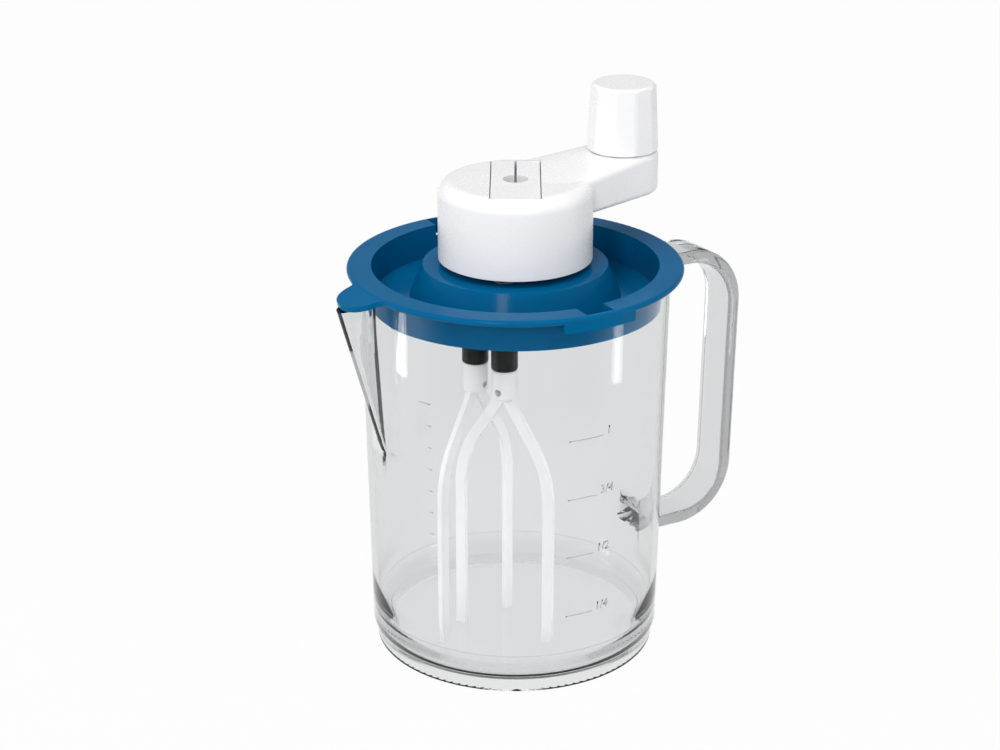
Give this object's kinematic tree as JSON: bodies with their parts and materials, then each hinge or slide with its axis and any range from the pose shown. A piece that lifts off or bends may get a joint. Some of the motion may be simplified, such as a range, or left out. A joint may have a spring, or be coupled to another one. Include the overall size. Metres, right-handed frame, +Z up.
{
  "type": "formula mixing pitcher",
  "caption": "Hand-cranked mixing pitcher: clear jug with spout and loop handle, blue plug lid, geared crank drum with arm and knob, and fork beaters that turn against each other.",
  "frame": {"origin": "on the jug's axis, on the table under the foot ring", "axes": "+Z up, +X from the jug's axis towards the handle, -X towards the spout"},
  "size_m": [0.1812, 0.132, 0.2227],
  "materials": {
    "clear": "clear, polished",
    "lid_blue": "gloss",
    "white": "gloss",
    "black_rubber": "satin",
    "acetal": "matte",
    "steel": "turned"
  },
  "bodies": {
    "jug": {"jug_body": "clear", "jug_floor": "clear", "jug_handle": "clear"},
    "lid": {"lid": "lid_blue", "crank_axle": "steel", "drum_washer": "acetal", "spindle_bushes": "acetal", "gear_cover": "white", "spindle_seals": "black_rubber", "cover_screws": "steel"},
    "crank": {"crank_drum": "white", "ring_gear": "acetal", "post_clip": "white", "knob_pin": "steel"},
    "knob": {"knob": "white", "knob_cap": "white"},
    "drive": {"drive_spindle": "steel", "drive_pinion": "acetal", "drive_gear": "acetal", "drive_coupler": "black_rubber", "drive_beater": "white"},
    "idler": {"idler_spindle": "steel", "idler_gear": "acetal", "idler_coupler": "black_rubber", "idler_beater": "white"}
  },
  "joints": [
    {"name": "lid_lift", "type": "slide", "parent": "jug", "child": "lid", "axis": [0, 0, 1], "range_m": [0, 0.16]},
    {"name": "crank_turn", "type": "hinge", "parent": "lid", "child": "crank", "pos_m": [0, 0, 0.178], "axis": [0, 0, 1], "continuous": true},
    {"name": "knob_spin", "type": "hinge", "parent": "crank", "child": "knob", "pos_m": [0.0536, 0.00658, 0.21], "axis": [0, 0, 1], "continuous": true},
    {"name": "drive_spin", "type": "hinge", "parent": "lid", "child": "drive", "pos_m": [-0.01981, -0.00278, 0.145], "axis": [0, 0, 1], "continuous": true},
    {"name": "idler_spin", "type": "hinge", "parent": "lid", "child": "idler", "pos_m": [-0.01411, -0.01557, 0.145], "axis": [0, 0, 1], "continuous": true}
  ],
  "couplings": [
    {"joint": "drive_spin", "follows": "crank_turn", "ratio": 4.3333},
    {"joint": "idler_spin", "follows": "crank_turn", "ratio": -4.3333}
  ]
}
